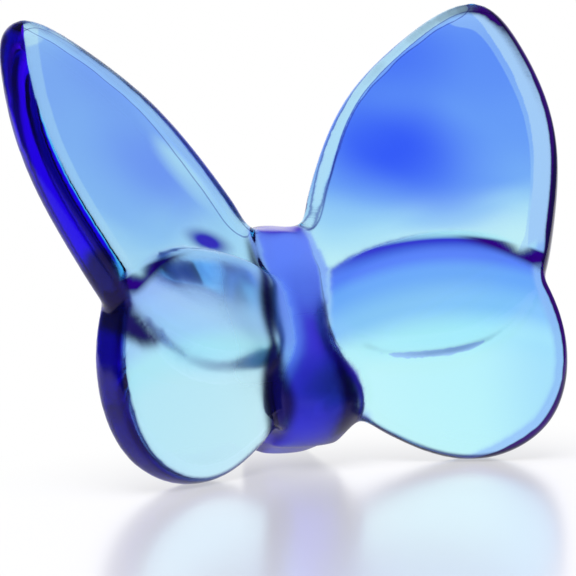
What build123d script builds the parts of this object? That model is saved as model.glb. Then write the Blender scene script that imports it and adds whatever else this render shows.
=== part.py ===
from build123d import *
import os

# A butterfly ornament of clear blue crystal glass, standing on its body's foot and the tips of its
# hindwings. Millimetres. The origin is the middle of the foot's flat face, on the surface that the
# ornament stands on. The front, where the body bulges out, faces -Y, and +Z is up.
# The right side is modelled and the left side is its mirror image about the YZ plane.

# Body: a column from the foot to the flat top of the head, deepest at the abdomen.
body_height = 27.0
body_half_width = 4.7
body_front_reach = 12.8
body_back_reach = 4.1
body_front_bulge = 1.5
body_back_bulge = 1.3
body_shoulder_radius = 1.3

# Each row is one level of the column, from the foot up: its height, its half width, and how far its
# front and back corners lie before and behind the origin.
body_level_shares = [
    (0.00, 0.70, 0.11, 0.39),
    (0.065, 0.92, 0.56, 0.51),
    (0.18, 1.00, 0.94, 0.22),
    (0.33, 1.02, 1.00, -0.07),
    (0.56, 0.83, 0.585, 0.06),
    (0.74, 0.765, 0.525, 0.49),
    (0.87, 0.81, 0.31, 0.865),
    (0.97, 0.77, 0.10, 1.00),
    (1.00, 0.64, 0.02, 0.80),
]

# Forewing: a teardrop lobe that swings forward at its outer end and leans back at its tip. Its plane
# passes the body's middle this far before the origin, at the height of the foot. Its rim is rolled
# nearly full round: the edge share is the rim's radius as a share of the thickness.
forewing_front = 16.0
forewing_sweep_angle = 31.3
forewing_lean_angle = 34.7
forewing_reach = 25.5
forewing_length = 64.0
forewing_thickness = 5.4
forewing_crown = 0.3
forewing_edge_share = 0.36
# Its front face swings forward less and leans back more than the lobe, so its lower end is thicker.
forewing_face_sweep_angle = 1.5
forewing_face_lean_angle = 1.5

# Hindwing: a rounder and thinner lobe, nearer upright, that crosses the forewing's lower end.
hindwing_front = 11.25
hindwing_sweep_angle = 16.8
hindwing_lean_angle = 16.6
hindwing_reach = 30.8
hindwing_length = 28.0
hindwing_thickness = 5.2
hindwing_crown = 0.4
hindwing_edge_share = 0.3
# Its front face swings further forward and leans less than the lobe, so the upper rim stands proud.
hindwing_face_sweep_angle = 5.5
hindwing_face_lift_angle = 3.6

# Outlines seen square to each lobe, from the root round the leading edge and back. Each point is a
# share of the lobe's reach to the side and a share of its length up its own plane.
forewing_outline_shares = [
    (-0.245, 0.471),
    (-0.193, 0.603),
    (-0.068, 0.768),
    (0.168, 0.9),
    (0.587, 0.998),
    (0.785, 0.908),
    (0.973, 0.685),
    (0.968, 0.515),
    (0.862, 0.343),
    (0.695, 0.275),
    (0.36, 0.235),
    (0.07, 0.242),
    (-0.125, 0.3),
]
hindwing_outline_shares = [
    (0.05, 0.77),
    (0.17, 0.885),
    (0.33, 0.945),
    (0.52, 0.978),
    (0.72, 0.945),
    (0.83, 0.885),
    (0.91, 0.765),
    (0.99, 0.428),
    (0.913, 0.15),
    (0.64, 0.0),
    (0.38, 0.06),
    (0.21, 0.155),
    (0.075, 0.25),
    (0.03, 0.44),
]

# The seam between the two lobes of a wing follows their creases. From this place on the body's
# middle plane it rises to the side and to the front.
seam_front = 8.5
seam_height = 9.2
seam_side_rise_angle = 17.0
seam_front_rise_angle = 40.0
# Each hindwing tip is ground flat by this much where it stands.
ground_flat = 0.15


def wing_plane(front, sweep, lean):
    """The middle plane of a lobe: x to the wing's outer end, y up the lobe, z to the front."""
    across = Vector(1, 0, 0).rotate(Axis.Z, -sweep)
    upright_facing = Vector(0, -1, 0).rotate(Axis.Z, -sweep)
    facing = upright_facing.rotate(Axis((0, 0, 0), across), -lean)
    return Plane(origin=(0, -front, 0), x_dir=across, z_dir=facing)


def crowned_lobe(
    plane, face_plane, outline_shares, reach, length, thickness, crown, edge_share
):
    """A lobe with an outline in its plane, both faces gently domed and its whole rim rolled.

    Its front face lies along the face plane, so that a lobe can be thicker at one end. The crown is
    how much lower a face lies at the lobe's ends than in its middle.
    """
    points = [(across * reach, up * length) for across, up in outline_shares]
    with BuildSketch(plane) as outline:
        with BuildLine():
            Spline(*points, periodic=True)
        make_face()
    slab = extrude(outline.sketch, amount=thickness, both=True)
    middle = slab.center()
    spread = outline.sketch.bounding_box().diagonal / 2
    crown_radius = (spread**2 + crown**2) / (2 * crown)
    dome_depth = crown_radius - thickness / 2
    front_dome = Pos(*(middle - face_plane.z_dir * dome_depth)) * Sphere(crown_radius)
    back_dome = Pos(*(middle + plane.z_dir * dome_depth)) * Sphere(crown_radius)
    lobe = slab & front_dome & back_dome
    domes = lobe.faces().filter_by(GeomType.SPHERE)
    rim_edges = [edge for dome in domes for edge in dome.edges()]
    return fillet(rim_edges, edge_share * thickness)


def body_column():
    """The body, lofted through its levels, with a flat foot and a flat head drawn in at its edge."""
    levels = []
    for height_share, width_share, front_share, back_share in body_level_shares:
        half_width = width_share * body_half_width
        front = -front_share * body_front_reach
        back = back_share * body_back_reach
        with BuildSketch(Plane.XY.offset(height_share * body_height)) as level:
            with BuildLine():
                front_arc = ThreePointArc(
                    (-half_width, front), (0, front - body_front_bulge), (half_width, front)
                )
                right_side = Line(front_arc @ 1, (half_width, back))
                back_arc = ThreePointArc(
                    right_side @ 1, (0, back + body_back_bulge), (-half_width, back)
                )
                Line(back_arc @ 1, front_arc @ 0)
            make_face()
            fillet(level.vertices(), body_shoulder_radius)
        levels.append(level.sketch)
    return loft(levels)


def space_beyond(plane):
    """A block that holds all of the ornament on the side of a plane that the plane faces."""
    side = 2 * (forewing_reach + forewing_length)
    return plane.offset(side / 2).location * Box(side, side, side)


body = body_column()

forewing_plane = wing_plane(forewing_front, forewing_sweep_angle, forewing_lean_angle)
forewing_lobe = crowned_lobe(
    forewing_plane,
    wing_plane(
        forewing_front,
        forewing_sweep_angle - forewing_face_sweep_angle,
        forewing_lean_angle + forewing_face_lean_angle,
    ),
    forewing_outline_shares,
    forewing_reach,
    forewing_length,
    forewing_thickness,
    forewing_crown,
    forewing_edge_share,
)

hindwing_lobe = crowned_lobe(
    wing_plane(hindwing_front, hindwing_sweep_angle, hindwing_lean_angle),
    wing_plane(
        hindwing_front,
        hindwing_sweep_angle + hindwing_face_sweep_angle,
        hindwing_lean_angle - hindwing_face_lift_angle,
    ),
    hindwing_outline_shares,
    hindwing_reach,
    hindwing_length,
    hindwing_thickness,
    hindwing_crown,
    hindwing_edge_share,
)
hindwing_drop = hindwing_lobe.bounding_box().min.Z + ground_flat
hindwing_lobe = Pos(0, 0, -hindwing_drop) * hindwing_lobe & space_beyond(Plane.XY)

# The two lobes cross. The forewing's lower end stands out of the hindwing's front as a soft lip and
# belongs to the hindwing, and the rest of the forewing rises behind the hindwing's top edge. What the
# hindwing cuts off from the forewing is part of the lip too.
seam_facing = Vector(0, 0, 1).rotate(Axis.Y, -seam_side_rise_angle).rotate(Axis.X, -seam_front_rise_angle)
above_seam = space_beyond(Plane(origin=(0, -seam_front, seam_height), z_dir=seam_facing))
forewing_pieces = ((forewing_lobe & above_seam) - hindwing_lobe - body).solids()
*lip_pieces, right_forewing = forewing_pieces.sort_by(SortBy.VOLUME)
right_hindwing = hindwing_lobe + (forewing_lobe - above_seam) - body
for lip_piece in lip_pieces:
    right_hindwing += lip_piece

parts = {
    "body": body,
    "right_forewing": right_forewing,
    "right_hindwing": right_hindwing,
    "left_forewing": mirror(right_forewing, about=Plane.YZ),
    "left_hindwing": mirror(right_hindwing, about=Plane.YZ),
}

os.makedirs("parts", exist_ok=True)
for name, shape in parts.items():
    export_step(shape, f"parts/{name}.step")
    box = shape.bounding_box()
    print(f"{name}: {len(shape.solids())} solid, {shape.volume / 1000:.2f} cm3, size {box.size}")
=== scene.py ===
# %% [markdown]
# A butterfly ornament of clear blue crystal glass. The real one is a single piece of glass that is
# pressed hot and then fire-polished, so every edge is soft and every surface runs into the next. The
# CAD model holds the same object as five plain solids. This lesson melts copies of them into one
# continuous piece of glass, and then gives that glass its colour and its light.

import math

import bpy
import numpy as np
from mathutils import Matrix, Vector
from mathutils.bvhtree import BVHTree


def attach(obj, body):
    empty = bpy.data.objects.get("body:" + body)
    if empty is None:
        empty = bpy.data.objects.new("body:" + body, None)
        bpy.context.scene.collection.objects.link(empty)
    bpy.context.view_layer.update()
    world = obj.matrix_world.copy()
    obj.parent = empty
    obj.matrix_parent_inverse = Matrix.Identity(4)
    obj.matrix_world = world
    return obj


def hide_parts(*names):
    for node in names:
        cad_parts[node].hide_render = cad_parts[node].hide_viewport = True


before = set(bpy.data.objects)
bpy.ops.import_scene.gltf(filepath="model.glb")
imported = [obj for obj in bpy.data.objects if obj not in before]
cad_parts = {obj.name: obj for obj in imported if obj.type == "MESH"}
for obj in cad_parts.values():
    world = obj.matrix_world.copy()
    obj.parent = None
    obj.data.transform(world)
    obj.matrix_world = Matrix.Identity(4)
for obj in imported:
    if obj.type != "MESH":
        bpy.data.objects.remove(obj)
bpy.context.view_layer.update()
wing_nodes = ["right_forewing", "right_hindwing", "left_forewing", "left_hindwing"]
glass_nodes = ["body"] + wing_nodes
mm = 0.001

# %% [markdown]
# The camera comes first, so that each later step can be looked at in the photograph's own view. The
# picture was taken with a long lens, from a little to the left and a little above. A long lens keeps
# the near and the far wing at nearly the same scale.

# %% The camera
view_azimuth = math.radians(-26.0)
view_elevation = math.radians(8.0)
view_distance = 528.2 * mm
view_aim = Vector((-1.25, -5.07, 20.58)) * mm
view_limit = 10.0
sensor_width = 36.0
frame_pixels = 576
focal_pixels = 4402

to_camera = Vector((
    math.sin(view_azimuth) * math.cos(view_elevation),
    -math.cos(view_azimuth) * math.cos(view_elevation),
    math.sin(view_elevation),
))
camera_data = bpy.data.cameras.new("camera")
camera_data.sensor_width = sensor_width
camera_data.lens = sensor_width * focal_pixels / frame_pixels
camera_data.clip_end = view_limit
camera = bpy.data.objects.new("camera", camera_data)
camera.location = view_aim + to_camera * view_distance
camera.rotation_euler = (math.pi / 2 - view_elevation, 0, view_azimuth)
bpy.context.scene.collection.objects.link(camera)
bpy.context.scene.camera = camera
print("camera lens in mm:", round(camera_data.lens, 1))

# %% [markdown]
# Blender's operators act on whatever is selected, and loading the CAD leaves its nodes selected. So a
# small helper deselects everything and then selects only the pieces that a step works on. Another
# applies a modifier at once, so that the next step works on the changed mesh.

# %% Helpers for Blender's operators
def only(*objects):
    """Selects these objects and nothing else, with the first one active."""
    bpy.ops.object.select_all(action="DESELECT")
    for each in objects:
        each.select_set(True)
    bpy.context.view_layer.objects.active = objects[0]


def apply_modifier(piece, kind, **settings):
    """Adds a modifier with its settings and applies it."""
    only(piece)
    modifier = piece.modifiers.new(kind.lower(), kind)
    for name, value in settings.items():
        setattr(modifier, name, value)
    bpy.ops.object.modifier_apply(modifier=modifier.name)


def report(piece, words):
    """Prints a piece's face count and size."""
    size = [round(value / mm, 2) for value in piece.dimensions]
    print(words, "-", len(piece.data.polygons), "faces,", size, "mm")


# %% [markdown]
# The glass has no joints. Five separate solids would show a face of glass at each seam, so copies of
# them are joined and remeshed into one closed skin. The Voxel Remesh modifier does this as melting
# would: it keeps the outside and loses what is inside. The solids only touch, so each copy is first
# swollen by a hair, and then the copies overlap. A fine voxel keeps the rims round.

# %% One blank of glass
blank_voxel = 0.36 * mm
join_overlap = 0.05 * mm
weld_distance = 0.001 * mm


def copy_of_node(name):
    """A copy of a CAD node with its loose triangles merged, swollen a hair."""
    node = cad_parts[name]
    copy = bpy.data.objects.new("blank_" + name, node.data.copy())
    bpy.context.scene.collection.objects.link(copy)
    copy.data.materials.clear()
    only(copy)
    bpy.ops.object.mode_set(mode="EDIT")
    bpy.ops.mesh.select_all(action="SELECT")
    bpy.ops.mesh.remove_doubles(threshold=weld_distance)
    bpy.ops.mesh.normals_make_consistent(inside=False)
    bpy.ops.transform.shrink_fatten(value=join_overlap)
    bpy.ops.object.mode_set(mode="OBJECT")
    return copy


blanks = [copy_of_node(name) for name in glass_nodes]
only(*blanks)
bpy.ops.object.join()
glass = bpy.context.view_layer.objects.active
glass.name = "butterfly_glass"
glass.data.name = "butterfly_glass"
apply_modifier(glass, "REMESH", mode="VOXEL", voxel_size=blank_voxel, adaptivity=0.0)
report(glass, "blank")

# %% [markdown]
# The next steps measure every point of the glass at once, so the places and normals are read into
# arrays. A measure becomes a soft weight from 0 to 1, by a step with rounded ends. A value whose name
# ends in run holds both ends of such a step: where it is 0, and where it is 1. The weight is kept on
# the mesh in one of two ways: a vertex group steers a modifier, and an attribute is read by a
# material. An attribute is first averaged with its neighbours, so that no edge of it shows.

# %% Helpers for measures on the glass
weight_steps = 20
mask_passes = 2
kept_masks = []


def vertex_values(name):
    """One vector per vertex of the glass, as rows of an array."""
    values = np.empty(len(glass.data.vertices) * 3)
    glass.data.vertices.foreach_get(name, values)
    return values.reshape(-1, 3)


def distances_to(node, points):
    """How far each point is from the surface of a CAD node. A BVH tree makes the search quick."""
    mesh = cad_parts[node].data
    tree = BVHTree.FromPolygons([v.co for v in mesh.vertices], [p.vertices for p in mesh.polygons])
    return np.array([tree.find_nearest(point)[3] for point in points])


def smooth_step(low, high, values):
    """Runs softly from 0 at low to 1 at high."""
    share = np.clip((values - low) / (high - low), 0, 1)
    return share * share * (3 - 2 * share)


def averaged(values, passes):
    """Averages values on the glass's points with their neighbours, this many times."""
    ends = np.empty(len(glass.data.edges) * 2, dtype=np.int64)
    glass.data.edges.foreach_get("vertices", ends)
    ends = ends.reshape(-1, 2)
    count = np.bincount(ends.ravel(), minlength=len(values))
    for _ in range(passes):
        total = np.bincount(ends[:, 0], values[ends[:, 1]], len(values))
        total += np.bincount(ends[:, 1], values[ends[:, 0]], len(values))
        values = (values + total / count) / 2
    return values


def keep_mask(name, values, passes=mask_passes):
    """Averages a mask with its neighbours and stores it on the glass as an attribute."""
    values = averaged(values.astype(float), passes)
    layer = glass.data.attributes.new(name, "FLOAT", "POINT")
    layer.data.foreach_set("value", values.astype(np.float32))
    kept_masks.append(name)
    print("mask", name, "averages", round(float(values.mean()), 3), "over the skin")


def weigh(name, weights):
    """Keeps weights on the glass as a vertex group, rounded to a few steps."""
    group = glass.vertex_groups.new(name=name)
    steps = np.round(weights * weight_steps).astype(int)
    for step in range(1, weight_steps + 1):
        group.add(np.flatnonzero(steps == step).tolist(), step / weight_steps, "REPLACE")
    print("group", name, "holds", int((steps > 0).sum()), "points")


# %% [markdown]
# Each point of the skin has to know which CAD node it came from. The node whose surface is nearest to
# the point owns it.

# %% Which piece each point came from
def gaps_to_nodes(points):
    """How far each point is from each CAD node, with one row for each node."""
    return np.array([distances_to(node, points) for node in glass_nodes])


def owned_by(kind):
    """Which points belong to the nodes whose names hold this word."""
    return np.isin(owner, [index for index, node in enumerate(glass_nodes) if kind in node])


places = vertex_values("co")
gaps = gaps_to_nodes(places)
owner = np.argmin(gaps, axis=0)
print("points of each piece:", dict(zip(glass_nodes, np.bincount(owner).tolist())))

# %% [markdown]
# Fire-polishing melts the outermost skin, and every crease fills in softly. Where two forms run into
# each other the real glass has flowed furthest, and vertex groups mark these places for a stronger
# polish. The first is the seam round the body: points that are near the body and near a wing too. The
# second is the valley on each lap, where the front faces of a wing's two lobes cross in a slanting
# line. Both wings are alike, so the line is given on the right one.

# %% The seams and the valleys
valley_start = np.array((4.0, -8.8, 17.9)) * mm
valley_end = np.array((24.0, -15.4, 24.0)) * mm
valley_near = 1.2 * mm
valley_reach = 4.8 * mm
seam_near = 0.6 * mm
seam_reach = 4.2 * mm

mirrored_places = np.column_stack((np.abs(places[:, 0]), places[:, 1:]))
valley = valley_end - valley_start
along = np.clip((mirrored_places - valley_start) @ valley / (valley @ valley), 0, 1)
from_valley = np.linalg.norm(mirrored_places - valley_start - along[:, None] * valley, axis=1)
weigh("valley", 1 - smooth_step(valley_near, valley_reach, from_valley))
from_seam = np.maximum(gaps[0], gaps[1:].min(axis=0))
weigh("seam", 1 - smooth_step(seam_near, seam_reach, from_seam))

# %% [markdown]
# The third place is the lip: the forewing's lower end, which stands out of the hindwing's front. Its
# edge is the part of a hindwing's front that looks down, above the wing's own rim. In the photograph
# the right wing keeps a crisper lip than the left one, so its share of the polish is smaller. A mask
# keeps the sharpest part of the edge, where the glass later gets a thin line of painted shade.

# %% The lips
lip_end = 24.5 * mm
lip_low = 7.0 * mm
lip_down = -0.3
lip_forward = -0.1
lip_line_down = -0.72
lip_spread = 11
lip_gain = 2.5
lip_right_share = 0.35

normals = vertex_values("normal")
lip_edge = owned_by("hindwing") & (normals[:, 2] < lip_down) & (normals[:, 1] < lip_forward)
lip_edge &= (mirrored_places[:, 0] < lip_end) & (places[:, 2] > lip_low)
lip_weights = np.clip(averaged(lip_edge.astype(float), lip_spread) * lip_gain, 0, 1)
weigh("lip", lip_weights * np.where(places[:, 0] > 0, lip_right_share, 1.0))
keep_mask("lip_line", lip_edge & (normals[:, 2] < lip_line_down))

# %% [markdown]
# The Smooth modifier does the polishing. Each pass moves a vertex towards the middle of its
# neighbours, which rounds the creases most and hardly moves the broad faces. The marked places come
# first, with many passes. A few passes then go over the whole blank.

# %% Fire-polish
polish_factor = 0.5
marked_passes = {"seam": 140, "valley": 150, "lip": 90}
whole_passes = 28

for group_name, passes in marked_passes.items():
    apply_modifier(glass, "SMOOTH", factor=polish_factor, iterations=passes, vertex_group=group_name)
apply_modifier(glass, "SMOOTH", factor=polish_factor, iterations=whole_passes)
report(glass, "fire-polished")

# %% [markdown]
# The foot and the hindwing tips are ground flat, so that the ornament stands. Bisect cuts the mesh a
# hair above the level of the floor and fills the cut. That is above the floor itself, because two
# faces in one plane would flicker in a render.

# %% The ground foot
lift = 0.02 * mm
cut_tolerance = 0.0001 * mm

only(glass)
bpy.ops.object.mode_set(mode="EDIT")
bpy.ops.mesh.select_all(action="SELECT")
bpy.ops.mesh.bisect(
    plane_co=(0, 0, lift),
    plane_no=(0, 0, 1),
    use_fill=True,
    clear_inner=True,
    threshold=cut_tolerance,
)
bpy.ops.object.mode_set(mode="OBJECT")
only(glass)
bpy.ops.object.shade_smooth()
report(glass, "ground flat")

# %% [markdown]
# The colour of the glass is not the same all over: a rim is seen the long way through, and the thick
# lap between the two lobes of a wing is deeper than the thin panels. The light and shade that a real
# rim bends into view depend on a whole studio, so here they are painted on the skin as colour: painted
# light and painted shade. To paint them, each point also has to know which way its piece faces.

# %% Which way each piece faces
body_facing = (0.0, -1.0, 0.0)


def facing_of(node):
    """The direction that a wing node's front looks, weighed by the area of its faces."""
    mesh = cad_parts[node].data
    face_normals = np.empty(len(mesh.polygons) * 3)
    areas = np.empty(len(mesh.polygons))
    mesh.polygons.foreach_get("normal", face_normals)
    mesh.polygons.foreach_get("area", areas)
    face_normals = face_normals.reshape(-1, 3)
    front = face_normals[:, 1] < 0
    weighed = (face_normals[front] * areas[front, None]).sum(axis=0)
    return weighed / np.linalg.norm(weighed)


places = vertex_values("co")
normals = vertex_values("normal")
owner = np.argmin(gaps_to_nodes(places), axis=0)
facings = np.array([body_facing] + [facing_of(node) for node in wing_nodes])
print("facings:", facings.round(2).tolist())

# %% [markdown]
# Soft masks come from that. "turn" says how far the skin has turned from its piece's facing, from 0 on
# a broad face to 1 on the side wall of a rim. "outward" says whether it looks away from the body. The
# lip on each hindwing is left out of it, because its edge is pale. "trunk" marks the body, "upper" the
# forewings and "front" all that looks forward. "lap" is the front of each hindwing, whose upper part
# laps over the forewing. "level" is the height there, measured so that it is the same all along the
# lap's top edge, which curves like a parabola.

# %% The masks
lap_middle = 17 * mm
lap_curve_per_metre = 18.0
lap_passes = 4
level_low = 12 * mm
level_high = 28 * mm
lip_outer_run = (25 * mm, 26.5 * mm)
lip_foot = 8 * mm
outward_run = (-0.2, 0.5)
outward_tilt = 0.25

side = np.sign(places[:, 0])
aside = np.abs(places[:, 0])
from_body = owned_by("body")
from_hindwing = owned_by("hindwing")
from_forewing = owned_by("forewing")
arched = places[:, 2] + lap_curve_per_metre * (aside - lap_middle) ** 2
facing_share = (normals * facings[owner]).sum(axis=1)
in_front = facing_share > 0
turn = 1 - np.abs(facing_share)
on_lip = from_hindwing * (1 - smooth_step(*lip_outer_run, aside)) * (places[:, 2] > lip_foot)
looks_out = normals[:, 0] * side - outward_tilt * normals[:, 2]
outward = smooth_step(*outward_run, looks_out) * (1 - on_lip)
keep_mask("turn", turn)
keep_mask("outward", outward)
keep_mask("trunk", from_body)
keep_mask("upper", from_forewing)
keep_mask("front", in_front)
keep_mask("lap", from_hindwing & in_front, lap_passes)
keep_mask("level", np.clip((arched - level_low) / (level_high - level_low), 0, 1))
print("top of the lap's level in mm:", round(float(arched[from_hindwing & in_front].max()) / mm, 1))

# %% [markdown]
# Two more masks reach from the rims on to the faces, because they are averaged many more times.
# "border" starts at the outer rim of each lobe, and "leading" at the forewing's long upper edge.

# %% The borders
border_passes = 42
rim_run = (0.2, 0.3)
outward_half = 0.5
leading_low = 26 * mm

rim = smooth_step(*rim_run, turn) * ~from_body
looks_in = outward <= outward_half
keep_mask("border", rim * ~looks_in, border_passes)
keep_mask("leading", rim * from_forewing * looks_in * (places[:, 2] > leading_low), border_passes)

# %% [markdown]
# Painted shade makes the glass nearly black in three places: on both sides of the body, and at the left
# end of the left lap. The mask "groove" marks them. Each is a strip up the front of the glass, whose
# left and right edge are given at a few heights.

# %% The grooves
groove_passes = 5
groove_edge = 0.8 * mm
groove_facing = 0.2
# Each row is a height, the strip's left edge there and its right edge, in millimetres.
groove_rows = {
    "left": [
        (2.5, -6.4, -4.6),
        (4.5, -8.4, -3.8),
        (9.0, -8.9, -3.6),
        (13.5, -8.4, -4.0),
        (15.5, -7.8, -5.4),
        (18.0, -7.8, -4.4),
        (22.0, -7.3, -4.0),
        (27.0, -6.0, -4.6),
    ],
    "right": [
        (3.0, 1.2, 5.2),
        (5.0, 0.6, 5.4),
        (9.0, 0.9, 4.6),
        (12.0, 1.7, 3.8),
        (14.5, 2.6, 3.4),
    ],
    "lap's left end": [
        (16.2, -25.6, -23.6),
        (17.6, -28.4, -23.2),
        (19.0, -31.0, -24.2),
        (20.4, -31.5, -25.4),
        (22.2, -31.5, -26.7),
        (24.0, -31.5, -27.3),
        (27.0, -31.5, -27.8),
        (28.5, -31.0, -28.6),
    ],
}


def between(low, high, values):
    """Runs softly from 0 at each of two limits to 1 further in between them."""
    return smooth_step(0, groove_edge, values - low) * smooth_step(0, groove_edge, high - values)


def strip(rows):
    """A soft strip up the front of the glass between a left and a right edge."""
    heights, lefts, rights = np.array(rows).T * mm
    left = np.interp(places[:, 2], heights, lefts)
    right = np.interp(places[:, 2], heights, rights)
    inside = between(left, right, places[:, 0]) * between(heights[0], heights[-1], places[:, 2])
    return inside * (normals[:, 1] < groove_facing)


# These strips mark where painted shade makes the glass nearly black.
keep_mask("groove", np.max([strip(rows) for rows in groove_rows.values()], axis=0), groove_passes)

# %% [markdown]
# A material is a tree of nodes. These helpers add the kinds of node that the cells below need most,
# feed them and hand back what they give. A value fed to a node is either plain or the output of
# another node, and an output knows the tree that it is in.

# %% Helpers for node trees
def feed(node, inputs):
    """Gives a node's inputs plain values, or links them to other nodes' outputs."""
    for name, value in inputs.items():
        if isinstance(value, bpy.types.NodeSocket):
            node.id_data.links.new(value, node.inputs[name])
        else:
            node.inputs[name].default_value = value


def add(tree, kind, inputs, **settings):
    """Adds a node with its settings and feeds its inputs."""
    node = tree.nodes.new("ShaderNode" + kind)
    for name, value in settings.items():
        setattr(node, name, value)
    feed(node, inputs)
    return node


def ramp(value, low, high, start=0.0):
    """A soft run to 1 as the value goes from low to high, from 0 or from another start."""
    inputs = {"Value": value, "From Min": low, "From Max": high, "To Min": start}
    return add(value.id_data, "MapRange", inputs, interpolation_type="SMOOTHSTEP").outputs["Result"]


def calculate(operation, result, *others):
    """Combines an output with other values, one Math node at a time."""
    for other in others:
        inputs = {0: result, 1: other}
        result = add(result.id_data, "Math", inputs, operation=operation).outputs["Value"]
    return result


def times(*values):
    """The product of an output and other values."""
    return calculate("MULTIPLY", *values)


def largest(*values):
    """The largest of an output and other values."""
    return calculate("MAXIMUM", *values)


def inverse(value):
    """What is left of 1 after a value."""
    return add(value.id_data, "Math", {0: 1.0, 1: value}, operation="SUBTRACT").outputs["Value"]


def mix(factor, under, over):
    """A colour laid over another by a factor."""
    inputs = {"Factor": factor, "A": under, "B": over}
    return add(factor.id_data, "Mix", inputs, data_type="RGBA").outputs["Result"]


def colours_along(value, low, high, stops):
    """A colour for a value that runs from 0 at the low place to 1 at the high one.

    The stops are pairs of a place in millimetres and a colour.
    """
    node = add(value.id_data, "ValToRGB", {"Fac": value})
    node.color_ramp.interpolation = "EASE"
    elements = node.color_ramp.elements
    while len(elements) < len(stops):
        elements.new(0.5)
    for element, (stop, colour) in zip(elements, stops):
        element.position = (stop * mm - low) / (high - low)
        element.color = colour + (1,)
    return node.outputs["Color"]


# %% [markdown]
# The glass is a Principled BSDF with full transmission and the refractive index of clear glass. A
# Volume Absorption gives the depth of colour: white light turns blue on its way through, and more so
# the longer the way. The Specular Tint turns the reflections on it blue as well.
#
# The material reads places on the piece itself and the masks. The places come once as they are, and
# once mirrored, for what is alike on both wings. A slow noise is there to make edges wavy.

# %% The crystal
glass_index = 1.52
depth_colour = (0.0, 0.76, 0.99, 1)
depth_per_metre = 60.0
highlight_colour = (0.4, 0.3, 1.0, 1)
waves_per_metre = 90.0

crystal = bpy.data.materials.new("blue_crystal")
crystal.use_nodes = True
crystal_tree = crystal.node_tree
shader = crystal_tree.nodes["Principled BSDF"]
feed(shader, {"Specular Tint": highlight_colour, "IOR": glass_index, "Transmission Weight": 1.0})
absorb = add(crystal_tree, "VolumeAbsorption", {"Color": depth_colour, "Density": depth_per_metre})
feed(crystal_tree.nodes["Material Output"], {"Volume": absorb.outputs["Volume"]})

where = add(crystal_tree, "TexCoord", {}).outputs["Object"]
place = add(crystal_tree, "SeparateXYZ", {"Vector": where}).outputs
mirrored = add(crystal_tree, "VectorMath", {0: where}, operation="ABSOLUTE").outputs["Vector"]
mirrored_place = add(crystal_tree, "SeparateXYZ", {"Vector": mirrored}).outputs
noise = {"Vector": where, "Scale": waves_per_metre, "Detail": 0.0}
waves = add(crystal_tree, "TexNoise", noise).outputs["Fac"]
mask = {
    name: add(crystal_tree, "Attribute", {}, attribute_name=name).outputs["Fac"] for name in kept_masks
}
print("masks that the crystal reads:", ", ".join(mask))

# %% [markdown]
# A colour ramp carries the tint up each forewing: pale where it rises behind the lap, and deeper blue
# above. Two soft clouds of a fuller blue lie on it, as in the photograph: a painted reflection of dark
# surroundings. A cloud is a stretched ball, tilted where it has to be, and the noise makes its edge
# wavy.

# %% The colours of the forewings
forewing_low = 24 * mm
forewing_high = 53 * mm
forewing_stops = [
    (24, (0.75, 0.95, 1.0)),
    (28, (0.5, 0.75, 1.0)),
    (32, (0.25, 0.46, 1.0)),
    (38, (0.19, 0.37, 1.0)),
    (47, (0.15, 0.30, 1.0)),
    (53, (0.28, 0.46, 1.0)),
]
wave_middle = 0.5
wave_rise = 8 * mm
painted_reflection_blue = (0.05, 0.12, 1.0, 1)
cloud_heart = 0.5
low_reflection_cloud = {"middle": (16, 0, 34.8), "reach": (11, 40, 8)}
high_reflection_cloud = {"middle": (19, 0, 46), "reach": (9, 40, 6)}
high_reflection_share = 0.6


def cloud(middle, reach, tilt=0, waviness=0.8, softness=1.1):
    """A soft wavy blot on both wings, given in millimetres and degrees on the right one."""
    placing = {
        "Vector": mirrored,
        "Location": Vector(middle) * mm,
        "Rotation": (0, -math.radians(tilt), 0),
        "Scale": Vector(reach) * mm,
    }
    placed = add(crystal_tree, "Mapping", placing, vector_type="TEXTURE").outputs["Vector"]
    distance = add(crystal_tree, "VectorMath", {0: placed}, operation="LENGTH").outputs["Value"]
    wavy = calculate("ADD", distance, times(waves, waviness))
    return ramp(wavy, cloud_heart + softness, cloud_heart)


wave = times(calculate("SUBTRACT", waves, wave_middle), wave_rise)
height = calculate("SUBTRACT", calculate("ADD", place["Z"], wave), forewing_low)
height = calculate("DIVIDE", height, forewing_high - forewing_low)
panel = colours_along(height, forewing_low, forewing_high, forewing_stops)
# Painted reflection: two soft clouds of a fuller blue, for dark surroundings seen in the glass.
panel = mix(cloud(**low_reflection_cloud), panel, painted_reflection_blue)
panel = mix(times(cloud(**high_reflection_cloud), high_reflection_share), panel, painted_reflection_blue)
print("nodes with the forewings' colours:", len(crystal_tree.nodes))

# %% [markdown]
# The two forewings don't look alike, because the camera sees them at different angles, and the light
# and shade of that view are painted. The left one is paler, with painted light. It has a pale slanting
# patch of painted light in the middle, and low on its front a dark spot of painted shade like a leaf.

# %% What only the left forewing has
middle_run = 1.0 * mm
left_painted_light = (0.48, 0.68, 1.0, 1)
left_light_share = 0.45
pale_painted_light = (0.6, 0.8, 1.0, 1)
leaf_painted_shade = (0.004, 0.001, 0.3, 1)
patch_of_painted_light = {
    "middle": (13, 0, 34.8), "reach": (15, 40, 5.2), "tilt": 51, "waviness": 0.6, "softness": 0.25,
}
leaf_of_painted_shade = {
    "middle": (12.6, 0, 27), "reach": (9.5, 40, 3), "tilt": 19, "waviness": 0.5, "softness": 0.4,
}

on_right = ramp(place["X"], -middle_run, middle_run)
on_left = inverse(on_right)
# Painted light and shade for this view: a paler left forewing, a pale patch, and a dark leaf of shade.
panel = mix(times(on_left, left_light_share), panel, left_painted_light)
panel = mix(times(cloud(**patch_of_painted_light), on_left), panel, pale_painted_light)
panel = mix(times(cloud(**leaf_of_painted_shade), on_left, mask["front"]), panel, leaf_painted_shade)
print("nodes with the left forewing's own colours:", len(crystal_tree.nodes))
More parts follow.
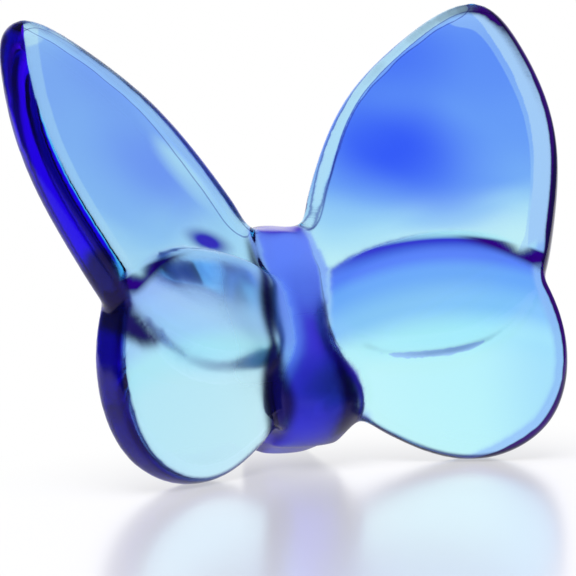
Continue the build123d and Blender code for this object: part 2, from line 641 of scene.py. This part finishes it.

# %% [markdown]
# A pale border of painted light runs round each forewing inside its rim. On the real glass it is the
# rolled rim, seen through the face. The values that bound it are small, because the mask has spread so
# far from the rim that little of it is left there. A thin dark line of painted shade parts the border
# of the upper edge from the panel.

# %% The pale borders
left_border_light = (0.62, 0.8, 1.0, 1)
left_border_run = (0.0004, 0.002)
right_border_light = (0.5, 0.66, 1.0, 1)
right_border_run = (0.003, 0.006)
neck_run = (41 * mm, 33 * mm)
neck_share = 0.07
leading_run = (0.12, 0.16)
line_painted_shade = (0.02, 0.02, 0.25, 1)
line_start_run = (0.10, 0.12)
line_end_run = (0.145, 0.125)
line_share = 0.85

# Painted light: pale borders inside the rims, where the rolled rim shows through the face.
panel = mix(times(ramp(mask["border"], *left_border_run), on_left), panel, left_border_light)
right_band = times(ramp(mask["border"], *right_border_run), on_right, mask["upper"])
panel = mix(right_band, panel, right_border_light)
leading = calculate("ADD", mask["leading"], times(ramp(place["Z"], *neck_run), neck_share))
panel = mix(ramp(leading, *leading_run), panel, pale_painted_light)
# Painted shade: a thin dark line between the upper edge's pale border and the panel.
line = times(ramp(leading, *line_start_run), ramp(leading, *line_end_run), line_share)
panel = mix(line, panel, line_painted_shade)
print("nodes with the pale borders:", len(crystal_tree.nodes))

# %% [markdown]
# The hindwings are aqua. Up the right lap the tint deepens, partly for the thicker glass where the
# lobes overlap, to a navy top edge of painted shade; its outer end is bluer, and a painted glow of the
# rim reaches into the face. The left lap is paler and more violet.

# %% The colours of the laps
# Near the top edge the stops turn navy and nearly black: painted shade on the rim of the lap.
right_lap_stops = [
    (12, (0.6, 1.0, 1.0)),
    (15.5, (0.5, 0.95, 1.0)),
    (19, (0.17, 0.42, 1.0)),
    (22.5, (0.07, 0.22, 1.0)),
    (24.5, (0.03, 0.07, 1.0)),
    (26.2, (0.004, 0.002, 0.45)),
    (27, (0.5, 0.9, 1.0)),
]
left_lap_stops = [
    (12, (0.85, 1.0, 1.0)),
    (16, (0.7, 1.0, 1.0)),
    (19, (0.54, 0.64, 1.0)),
    (22, (0.48, 0.52, 1.0)),
    (24.5, (0.38, 0.40, 1.0)),
    (26.4, (0.5, 0.6, 1.0)),
]
outer_blue = (0.25, 0.55, 1.0, 1)
outer_run = (17 * mm, 27 * mm)
outer_level_run = (0.45, 0.15)
outer_share = 0.6
painted_glow_blue = (0.2, 0.32, 1.0, 1)
glow_run = (0.01, 0.10)
glow_share = 0.8

left_lap = colours_along(mask["level"], level_low, level_high, left_lap_stops)
right_lap = colours_along(mask["level"], level_low, level_high, right_lap_stops)
outer = times(ramp(place["X"], *outer_run), ramp(mask["level"], *outer_level_run), outer_share)
right_lap = mix(outer, right_lap, outer_blue)
# Painted light: the rim's glow, a deeper blue reaching into the face of the right lap.
painted_rim_glow = times(ramp(mask["border"], *glow_run), glow_share)
right_lap = mix(painted_rim_glow, right_lap, painted_glow_blue)
lap = mix(on_right, left_lap, right_lap)
print("nodes with the laps' colours:", len(crystal_tree.nodes))

# %% [markdown]
# At the outer end of each lap a nearly black wedge of painted shade lies under the top edge. It starts
# at a slanting line and stops short of the rim. Below, a thin violet line of painted shade marks the
# lip's edge on the right wing.

# %% The dark wedge and the line of the lip
wedge_painted_shade = (0.002, 0.0, 0.05, 1)
wedge_inner_run = (15 * mm, 20 * mm)
wedge_outer_run = (30 * mm, 28.5 * mm)
wedge_middle = 21 * mm
wedge_slope_per_metre = 16
wedge_aslant_run = (0.81, 0.89)
wedge_top_run = (0.93, 0.90)
wedge_height_run = (21.5 * mm, 23.5 * mm)
lip_line_shade = (0.16, 0.16, 1.0, 1)
lip_line_run = (0.1, 0.6)
lip_line_share = 0.65

outward_place = calculate("SUBTRACT", mirrored_place["X"], wedge_middle)
aslant = calculate("ADD", mask["level"], times(outward_place, wedge_slope_per_metre))
wedge = times(
    ramp(mirrored_place["X"], *wedge_inner_run),
    ramp(mirrored_place["X"], *wedge_outer_run),
    ramp(aslant, *wedge_aslant_run),
    ramp(mask["level"], *wedge_top_run),
    ramp(place["Z"], *wedge_height_run),
)
# Painted shade: the nearly black wedge under the top edge of each lap.
lap = mix(wedge, lap, wedge_painted_shade)
# Painted shade: the thin violet line on the lip's edge of the right wing.
lap = mix(times(ramp(mask["lip_line"], *lip_line_run), on_right, lip_line_share), lap, lip_line_shade)
panel = mix(mask["lap"], panel, lap)
print("nodes with the wedge and the line:", len(crystal_tree.nodes))

# %% [markdown]
# The body is thick, so it is deep blue. Painted shade makes it darker where its surface turns away and
# on the right of its bulge.

# %% The colours of the body
body_blue = (0.20, 0.26, 1.0, 1)
body_shade = (0.03, 0.005, 0.45, 1)
body_turn_run = (0.3, 0.8)
bulge_side_run = (0.0, 2.6 * mm)
bulge_height_run = (21 * mm, 15 * mm)

# Painted shade: darker where the body's surface turns away and on the right of its bulge.
bulge_side_shade = times(ramp(place["X"], *bulge_side_run), ramp(place["Z"], *bulge_height_run))
trunk_shade = largest(ramp(mask["turn"], *body_turn_run), bulge_side_shade)
skin = mix(mask["trunk"], panel, mix(trunk_shade, body_blue, body_shade))
print("nodes with the body's colours:", len(crystal_tree.nodes))

# %% [markdown]
# The rims are the deepest of all: they are seen the long way through, and painted shade darkens them
# further. On the left wing, which is seen from aside, the rim is a broad band of painted shade, violet
# at its start and a strong blue further round. On the right one it is a dark outline of painted shade.
# The painted shade of the grooves comes last, over all else.

# %% The colours of the rims and the grooves
rim_blue_and_shade = (0.012, 0.0, 0.75, 1)
rim_violet_shade = (0.05, 0.0, 0.26, 1)
rim_black_shade = (0.002, 0.0, 0.02, 1)
groove_painted_shade = (0.0006, 0.0001, 0.012, 1)
left_rim_run = (0.08, 0.25)
left_rim_blue_run = (0.25, 0.60)
right_rim_run = (0.05, 0.14)
right_outline_run = (0.26, 0.36)
wide_rim_run = (0.13, 0.16)

off_body = inverse(mask["trunk"])
rim_side = times(off_body, mask["outward"])
# Painted shade on the rims, over the deep blue of the long way through the glass.
left_rim = times(ramp(mask["turn"], *left_rim_run), rim_side, on_left)
skin = mix(left_rim, skin, rim_violet_shade)
skin = mix(times(ramp(mask["turn"], *left_rim_blue_run), left_rim), skin, rim_blue_and_shade)
right_rim = times(ramp(mask["turn"], *right_rim_run), rim_side, on_right, mask["upper"])
skin = mix(right_rim, skin, rim_black_shade)
right_outline = times(ramp(mask["border"], *right_outline_run), on_right, off_body, mask["front"])
skin = mix(right_outline, skin, rim_black_shade)
wide_rim = times(ramp(mask["border"], *wide_rim_run), on_left, inverse(mask["lap"]))
skin = mix(wide_rim, skin, rim_blue_and_shade)
# Painted shade: the grooves go nearly black.
skin = mix(mask["groove"], skin, groove_painted_shade)
feed(shader, {"Base Color": skin})
print("nodes with the rims and the grooves:", len(crystal_tree.nodes))

# %% [markdown]
# Smooth glass bends the view behind it into sharp shreds wherever it is thick and curved. The real
# ornament looks calm in such places, so they get some roughness: it blurs what passes through, as a
# thick piece of hot-worked glass does. They are the lower body, the left lap and the root of its lip,
# and the left wing's rim and upper edge.

# %% The cloudy parts
body_low_run = (22 * mm, 16 * mm)
left_lap_run = (0.45, 0.75)
left_lap_share = 0.45
root_aside_run = (19 * mm, 10 * mm)
root_height_run = (5 * mm, 13 * mm)
haze_run = (0.1, 0.4)
haze_share = 0.5
upper_edge_run = (0.3, 0.45)
upper_edge_share = 0.8
most_roughness = 0.35

cloudy = largest(
    times(mask["trunk"], ramp(place["Z"], *body_low_run)),
    times(ramp(mask["level"], *left_lap_run), on_left, mask["lap"], left_lap_share),
    times(
        ramp(mirrored_place["X"], *root_aside_run),
        ramp(place["Z"], *root_height_run),
        on_left,
        mask["lap"],
    ),
    times(ramp(mask["turn"], *haze_run), on_left, haze_share),
    times(ramp(mask["leading"], *upper_edge_run), on_left, upper_edge_share),
)
feed(shader, {"Roughness": times(cloudy, most_roughness)})
print("nodes with the cloudy parts:", len(crystal_tree.nodes))

# %% [markdown]
# The finished skin stands for all five CAD nodes, which are hidden. With no joint, the one body that
# it can ride on is the root.

# %% The glass takes its place
glass.data.materials.append(crystal)
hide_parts(*glass_nodes)
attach(glass, "root")
print("materials:", [material.name for material in glass.data.materials])

# %% [markdown]
# The floor is a plain pale sheet with a soft sheen, so that the glass throws a blurred blue reflection
# on it. Away from the object it fades into plain white, as a studio's curved backdrop does, so that no
# horizon shows through the glass.

# %% The floor
floor_size = 6.0
white = (1.0, 1.0, 1.0, 1)
floor_grey = (0.93, 0.93, 0.94, 1)
floor_roughness = 0.24
sheen = {"Coat Weight": 1.0, "Coat Roughness": 0.2, "Coat IOR": 1.7}
reflection_middle = Vector((0, -70, 0)) * mm
floor_near = 35 * mm
floor_far = 85 * mm
white_share = 0.15

bpy.ops.object.select_all(action="DESELECT")
bpy.ops.mesh.primitive_plane_add(size=floor_size, location=(0, 0, 0))
floor = bpy.context.view_layer.objects.active
floor.name = "floor"
floor_finish = bpy.data.materials.new("pale_floor")
floor_finish.use_nodes = True
floor_tree = floor_finish.node_tree
floor_shader = floor_tree.nodes["Principled BSDF"]
feed(floor_shader, {"Base Color": floor_grey, "Roughness": floor_roughness, **sheen})
floor_place = add(floor_tree, "TexCoord", {}).outputs["Object"]
ends = {0: floor_place, 1: reflection_middle}
floor_distance = add(floor_tree, "VectorMath", ends, operation="DISTANCE").outputs["Value"]
floor_fade = ramp(floor_distance, floor_near, floor_far, white_share)

# %% [markdown]
# The white has to glow, because a sheet that is only lit is never as white as the sky behind it. The
# glow isn't meant to light anything. So the Light Path node keeps it to the rays that show the floor
# to the camera: straight, in a reflection or through the glass.

# %% The backdrop's white
ray = add(floor_tree, "LightPath", {}).outputs
seen = largest(ray["Is Camera Ray"], ray["Is Glossy Ray"], ray["Is Transmission Ray"])
backdrop = add(floor_tree, "Emission", {"Color": white, "Strength": 1.0})
sheet_or_white = {
    "Fac": times(floor_fade, seen),
    1: floor_shader.outputs["BSDF"],
    2: backdrop.outputs["Emission"],
}
floor_blend = add(floor_tree, "MixShader", sheet_or_white)
feed(floor_tree.nodes["Material Output"], {"Surface": floor_blend.outputs["Shader"]})
floor.data.materials.append(floor_finish)
print("floor turns white from", round(floor_near / mm), "to", round(floor_far / mm), "mm")

# %% [markdown]
# Glass is lit by what stands round it. The studio is a bright field: white behind the object and in
# front of it, as the camera looks, and darker to the sides and overhead. Where a rim bends the view far
# aside it picks up the darker parts, and this draws the deep outlines of the glass.

# %% The studio round it
sky_dark = (0.10, 0.10, 0.25, 1)
side_run = (0.30, 0.62)
overhead_run = (0.28, 0.65)
view_side = Vector((math.cos(view_azimuth), math.sin(view_azimuth), 0))

world = bpy.data.worlds.new("studio")
bpy.context.scene.world = world
world.use_nodes = True
sky_tree = world.node_tree
direction = add(sky_tree, "TexCoord", {}).outputs["Generated"]
upward = add(sky_tree, "SeparateXYZ", {"Vector": direction}).outputs["Z"]
sides = {0: direction, 1: view_side}
sideways = add(sky_tree, "VectorMath", sides, operation="DOT_PRODUCT").outputs["Value"]
far_aside = add(sky_tree, "Math", {0: sideways}, operation="ABSOLUTE").outputs["Value"]
darkness = largest(ramp(far_aside, *side_run), ramp(upward, *overhead_run))
sky_colour = mix(darkness, white, sky_dark)
feed(sky_tree.nodes["Background"], {"Color": sky_colour, "Strength": 1.0})
print("nodes in the sky's tree:", len(sky_tree.nodes))

# %% [markdown]
# One large soft lamp overhead lights the floor. It is hidden from reflections and from rays that pass
# the glass, so that no hard spot shows.

# %% The lamp
lamp_watts = 9.5
lamp_width = 0.9
lamp_place = (-0.15, -0.1, 0.9)

lamp_data = bpy.data.lights.new("overhead_softbox", "AREA")
lamp_data.energy = lamp_watts
lamp_data.shape = "DISK"
lamp_data.size = lamp_width
lamp = bpy.data.objects.new("overhead_softbox", lamp_data)
lamp.location = lamp_place
lamp.visible_glossy = False
lamp.visible_transmission = False
bpy.context.scene.collection.objects.link(lamp)
print("lamp in watts:", lamp_data.energy)

# %% [markdown]
# A product picture has a pure white ground. The Standard view shows white as white, where a filmic one
# would turn it grey.

# %% The picture's tones
view = bpy.context.scene.view_settings
view.view_transform = "Standard"
print("view:", view.view_transform)
